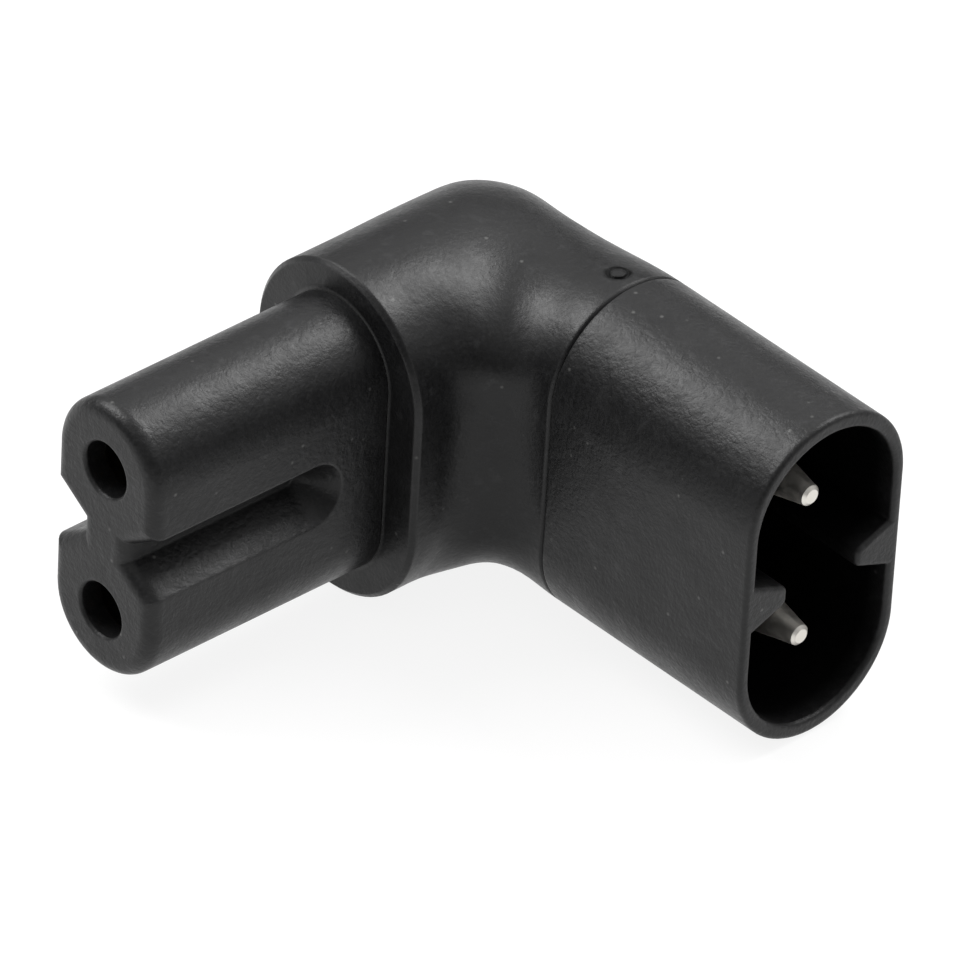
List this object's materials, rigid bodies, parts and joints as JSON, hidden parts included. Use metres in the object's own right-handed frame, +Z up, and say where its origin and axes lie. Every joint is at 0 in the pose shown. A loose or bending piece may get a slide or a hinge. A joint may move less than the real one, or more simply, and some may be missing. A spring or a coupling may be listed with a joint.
{
  "type": "figure eight power connector",
  "caption": "Right-angle power adapter that joins a figure eight socket nose to an oval pin inlet through a black moulded elbow.",
  "frame": {"origin": "middle of the footprint, at the lowest points of the two arms", "axes": "+Z up along the line of the two poles; -Y out of the socket nose; +X out of the pin inlet"},
  "size_m": [0.0308, 0.0313, 0.0194],
  "materials": {
    "nose_black": "satin moulded",
    "elbow_black": "satin moulded, fine grain",
    "shroud_black": "satin moulded",
    "sleeve_brass": "formed strip",
    "pin_nickel": "nickel plated, turned",
    "wire_copper": "bare copper"
  },
  "bodies": {
    "root": {"nose_insert": "nose_black", "elbow_overmould": "elbow_black", "inlet_shroud": "shroud_black", "contact_sleeve_upper": "sleeve_brass", "contact_sleeve_lower": "sleeve_brass", "contact_pin_upper": "pin_nickel", "contact_pin_lower": "pin_nickel", "link_wire_upper": "wire_copper", "link_wire_lower": "wire_copper"}
  },
  "joints": []
}
